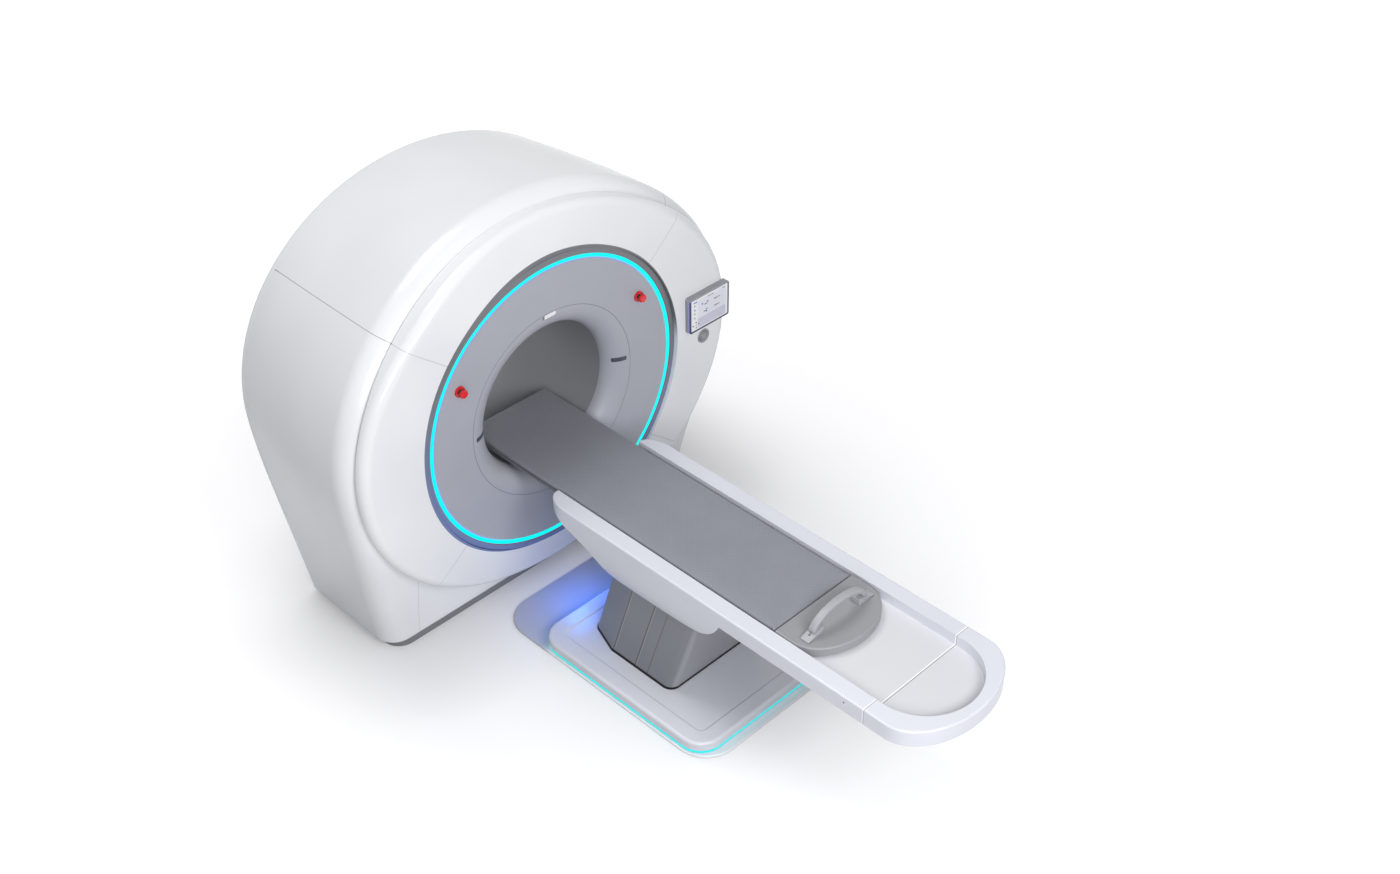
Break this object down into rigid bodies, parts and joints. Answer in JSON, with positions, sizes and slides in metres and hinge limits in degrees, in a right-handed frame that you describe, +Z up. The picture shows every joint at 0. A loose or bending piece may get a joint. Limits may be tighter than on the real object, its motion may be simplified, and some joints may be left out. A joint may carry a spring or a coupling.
{
  "type": "mri scanner",
  "caption": "Upright ring-shaped body scanner with a round bore, a lit ring, a side screen and a sliding patient table on a leaning column.",
  "frame": {"origin": "on the floor under the middle of the magnet, on the bore's axis seen from above", "axes": "+Z up, +Y from the patient table into the bore, +X to the right as seen from the table"},
  "size_m": [2.1726, 3.2639, 1.9138],
  "materials": {
    "shell_white": "glossy white paint on moulded covers",
    "table_white": "glossy white moulded plastic",
    "trim_grey": "dark grey satin plastic",
    "light_cyan": "lit cyan diffuser",
    "disc_grey": "satin grey plastic",
    "bore_grey": "satin grey plastic",
    "button_red": "glossy red plastic",
    "screen_frame": "pale lavender plastic",
    "screen_face": "lit display behind smooth glass",
    "call_grey": "grey satin plastic",
    "marker_white": "white diffuser",
    "window_dark": "dark tinted window",
    "base_dark": "dark grey paint",
    "vessel_metal": "brushed",
    "coil_resin": "cast resin",
    "foot_metal": "grey paint",
    "plate_lavender": "satin pale lavender paint",
    "plinth_white": "satin pale plastic",
    "column_grey": "satin grey plastic panels",
    "column_light": "satin grey plastic panel",
    "mast_steel": "brushed",
    "beam_metal": "brushed",
    "tray_grey": "smooth pale grey plastic",
    "board_grey": "satin grey laminate",
    "mat_grey": "grey woven-look vinyl",
    "end_grey": "satin grey plastic",
    "handle_grey": "satin light grey plastic"
  },
  "bodies": {
    "gantry": {"top_cover": "shell_white", "side_cover_left": "shell_white", "side_cover_right": "shell_white", "front_lower_cover": "shell_white", "rear_cover": "shell_white", "bezel_top": "shell_white", "bezel_left": "shell_white", "bezel_right": "shell_white", "bezel_bottom": "shell_white", "trim_ring": "trim_grey", "light_ring": "light_cyan", "front_disc": "disc_grey", "bore_flare": "disc_grey", "bore_liner": "bore_grey", "rear_flare": "disc_grey", "marker_light": "marker_white", "laser_window_left": "window_dark", "laser_window_right": "window_dark", "stop_collar_left": "button_red", "stop_collar_right": "button_red", "screen_housing": "screen_frame", "screen_glass": "screen_face", "call_collar": "call_grey", "base_frame": "base_dark", "magnet_vessel": "vessel_metal", "cold_head": "mast_steel", "gradient_coil": "coil_resin", "body_coil": "coil_resin", "magnet_foot_left": "foot_metal", "magnet_foot_right": "foot_metal", "floor_plate": "plate_lavender", "plinth": "plinth_white", "plinth_light": "light_cyan", "column_frame": "foot_metal", "column_rear_cover": "column_grey", "column_front_cover": "column_light", "column_panel_left_rear": "column_grey", "column_panel_left_front": "column_grey", "column_panel_right_rear": "column_grey", "column_panel_right_front": "column_grey", "mast_sleeve": "mast_steel"},
    "table_top": {"hull": "table_white", "end_cap": "table_white", "tray_front": "tray_grey", "tray_rear": "tray_grey", "table_chassis": "beam_metal", "guide_rail_left": "mast_steel", "guide_rail_right": "mast_steel", "mast_ram": "mast_steel"},
    "cradle": {"cradle_board": "board_grey", "mat": "mat_grey", "end_piece": "end_grey", "handle": "handle_grey", "handle_mount_left": "handle_grey", "handle_mount_right": "handle_grey", "handle_screws": "mast_steel"},
    "stop_cap_left": {"stop_button_left": "button_red"},
    "stop_cap_right": {"stop_button_right": "button_red"},
    "call_cap": {"call_button": "call_grey"}
  },
  "joints": [
    {"name": "table_lift", "type": "slide", "parent": "gantry", "child": "table_top", "axis": [0, -0.3007, 0.9537], "range_m": [-0.01, 0.06]},
    {"name": "board_slide", "type": "slide", "parent": "table_top", "child": "cradle", "axis": [0, 1, 0], "range_m": [-0.42, 0.9]},
    {"name": "stop_press_left", "type": "slide", "parent": "gantry", "child": "stop_cap_left", "axis": [0, 1, 0], "range_m": [0, 0.004], "stiffness_N_per_m": 1500},
    {"name": "stop_press_right", "type": "slide", "parent": "gantry", "child": "stop_cap_right", "axis": [0, 1, 0], "range_m": [0, 0.004], "stiffness_N_per_m": 1500},
    {"name": "call_press", "type": "slide", "parent": "gantry", "child": "call_cap", "axis": [0, 1, 0], "range_m": [0, 0.002], "stiffness_N_per_m": 1500}
  ]
}
